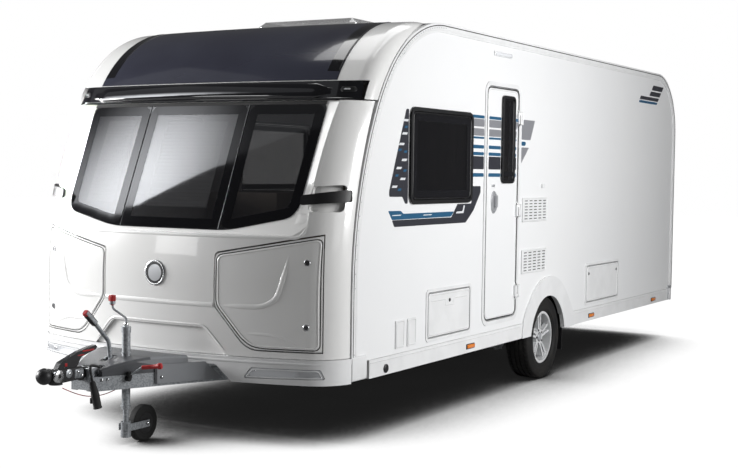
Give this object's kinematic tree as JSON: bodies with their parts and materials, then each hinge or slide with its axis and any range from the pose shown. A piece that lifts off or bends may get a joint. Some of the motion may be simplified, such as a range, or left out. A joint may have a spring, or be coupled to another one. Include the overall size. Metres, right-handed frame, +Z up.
{
  "type": "travel caravan",
  "caption": "Single-axle touring caravan with a panoramic front window, sunroof, A-frame drawbar and jockey wheel.",
  "frame": {"origin": "on the ground under the middle of the overall length and width", "axes": "+Z up, -Y forward along the drawbar, +X to the caravan's left, the entrance door side"},
  "size_m": [2.31, 7.42, 2.603],
  "materials": {
    "white_shell": "gloss white coating on sandwich panels and mouldings",
    "white_plastic": "gloss moulded plastic",
    "grey_plastic": "satin moulded plastic",
    "black_plastic": "satin moulded plastic",
    "black_gloss": "gloss black",
    "tinted_acrylic": "dark tinted, polished",
    "clear_lens": "clear ribbed lens",
    "red_lens": "ribbed lens",
    "galvanised_steel": "hot-dip galvanised",
    "cast_coupling": "black coated casting",
    "alloy": "silver lacquer",
    "drum_iron": "painted casting",
    "tyre_rubber": "matt tread rubber",
    "black_rubber": "matt rubber",
    "plywood_floor": "sealed plywood",
    "furniture": "laminated furniture board and cloth",
    "red_cord": "coated thin wire rope"
  },
  "bodies": {
    "root": {"front_panel": "white_shell", "front_lamps": "clear_lens", "front_window_frame": "black_plastic", "lamp_bar": "black_gloss", "front_cap": "white_shell", "front_glass": "tinted_acrylic", "side_walls": "white_shell", "roof": "white_shell", "rear_panel": "white_shell", "rear_lamps": "red_lens", "bumpers": "white_plastic", "awning_rails": "white_plastic", "skirts": "white_plastic", "floor": "plywood_floor", "wheel_boxes": "black_plastic", "chassis": "galvanised_steel", "axle": "galvanised_steel", "cabin_windows": "tinted_acrylic", "wall_frames": "white_plastic", "wall_vents": "white_plastic", "grab_handles": "white_plastic", "front_locker": "white_plastic", "cabin_furniture": "furniture", "coupling_head": "cast_coupling", "drawbar_covers": "grey_plastic", "handbrake_lever": "galvanised_steel", "jockey_tube": "galvanised_steel", "roof_fittings": "white_plastic", "road_cable": "black_rubber", "cable_plug": "black_plastic", "breakaway_cable": "red_cord"},
    "wheel_left": {"tyre_left": "tyre_rubber", "rim_left": "alloy", "drum_left": "drum_iron"},
    "wheel_right": {"tyre_right": "tyre_rubber", "rim_right": "alloy", "drum_right": "drum_iron"},
    "jockey_leg": {"jockey_stem": "galvanised_steel"},
    "jockey_caster": {"jockey_fork": "galvanised_steel"},
    "jockey_roller": {"jockey_wheel": "black_rubber"},
    "door": {"entrance_door": "white_shell", "door_window": "tinted_acrylic"},
    "locker_left": {"locker_lid_left": "white_shell"},
    "locker_right": {"locker_lid_right": "white_shell"},
    "hatch_a": {"hatch_front": "white_plastic"},
    "hatch_b": {"hatch_rear": "white_plastic"},
    "hatch_c": {"hatch_cassette": "white_plastic"},
    "hatch_d": {"hatch_service": "white_plastic"},
    "rooflight_a": {"rooflight_lid_front": "tinted_acrylic"},
    "rooflight_b": {"rooflight_lid_rear": "tinted_acrylic"},
    "steady_fl": {"steady_front_left": "galvanised_steel"},
    "steady_fr": {"steady_front_right": "galvanised_steel"},
    "steady_rl": {"steady_rear_left": "galvanised_steel"},
    "steady_rr": {"steady_rear_right": "galvanised_steel"}
  },
  "joints": [
    {"name": "wheel_left_spin", "type": "hinge", "parent": "root", "child": "wheel_left", "pos_m": [1.02, 0.49, 0.315], "axis": [1, 0, 0], "continuous": true},
    {"name": "wheel_right_spin", "type": "hinge", "parent": "root", "child": "wheel_right", "pos_m": [-1.02, 0.49, 0.315], "axis": [1, 0, 0], "continuous": true},
    {"name": "jockey_lift", "type": "slide", "parent": "root", "child": "jockey_leg", "axis": [0, 0, 1], "range_m": [0, 0.06]},
    {"name": "jockey_swivel", "type": "hinge", "parent": "jockey_leg", "child": "jockey_caster", "pos_m": [0.062, -3.09, 0.1], "axis": [0, 0, 1], "continuous": true},
    {"name": "jockey_roll", "type": "hinge", "parent": "jockey_caster", "child": "jockey_roller", "pos_m": [0.062, -2.945, 0.105], "axis": [1, 0, 0], "continuous": true},
    {"name": "door_hinge", "type": "hinge", "parent": "root", "child": "door", "pos_m": [1.151, -0.09, 1.35], "axis": [0, 0, 1], "range_deg": [0, 170]},
    {"name": "locker_left_hinge", "type": "hinge", "parent": "root", "child": "locker_left", "pos_m": [0.412, -2.75357, 0.82], "axis": [0, 0, -1], "range_deg": [0, 95]},
    {"name": "locker_right_hinge", "type": "hinge", "parent": "root", "child": "locker_right", "pos_m": [-0.412, -2.75357, 0.82], "axis": [0, 0, 1], "range_deg": [0, 95]},
    {"name": "hatch_front_hinge", "type": "hinge", "parent": "root", "child": "hatch_a", "pos_m": [1.142, -1.1725, 0.512], "axis": [0, 1, 0], "range_deg": [0, 100]},
    {"name": "hatch_rear_hinge", "type": "hinge", "parent": "root", "child": "hatch_b", "pos_m": [1.142, 1.7045, 0.511], "axis": [0, 1, 0], "range_deg": [0, 100]},
    {"name": "hatch_cassette_hinge", "type": "hinge", "parent": "root", "child": "hatch_c", "pos_m": [-1.142, 2.68, 0.58], "axis": [0, -1, 0], "range_deg": [0, 100]},
    {"name": "hatch_service_hinge", "type": "hinge", "parent": "root", "child": "hatch_d", "pos_m": [-1.142, -1.09, 0.58], "axis": [0, -1, 0], "range_deg": [0, 100]},
    {"name": "rooflight_front_hinge", "type": "hinge", "parent": "root", "child": "rooflight_a", "pos_m": [0, -1.211, 2.552], "axis": [1, 0, 0], "range_deg": [0, 50]},
    {"name": "rooflight_rear_hinge", "type": "hinge", "parent": "root", "child": "rooflight_b", "pos_m": [-0.3, 1.544, 2.552], "axis": [1, 0, 0], "range_deg": [0, 50]},
    {"name": "steady_front_left_swing", "type": "hinge", "parent": "root", "child": "steady_fl", "pos_m": [0.47, -2.15635, 0.352], "axis": [-1, 0, 0], "range_deg": [0, 50]},
    {"name": "steady_front_right_swing", "type": "hinge", "parent": "root", "child": "steady_fr", "pos_m": [-0.47, -2.15635, 0.352], "axis": [-1, 0, 0], "range_deg": [0, 50]},
    {"name": "steady_rear_left_swing", "type": "hinge", "parent": "root", "child": "steady_rl", "pos_m": [0.47, 3.25, 0.352], "axis": [1, 0, 0], "range_deg": [0, 50]},
    {"name": "steady_rear_right_swing", "type": "hinge", "parent": "root", "child": "steady_rr", "pos_m": [-0.47, 3.25, 0.352], "axis": [1, 0, 0], "range_deg": [0, 50]}
  ]
}
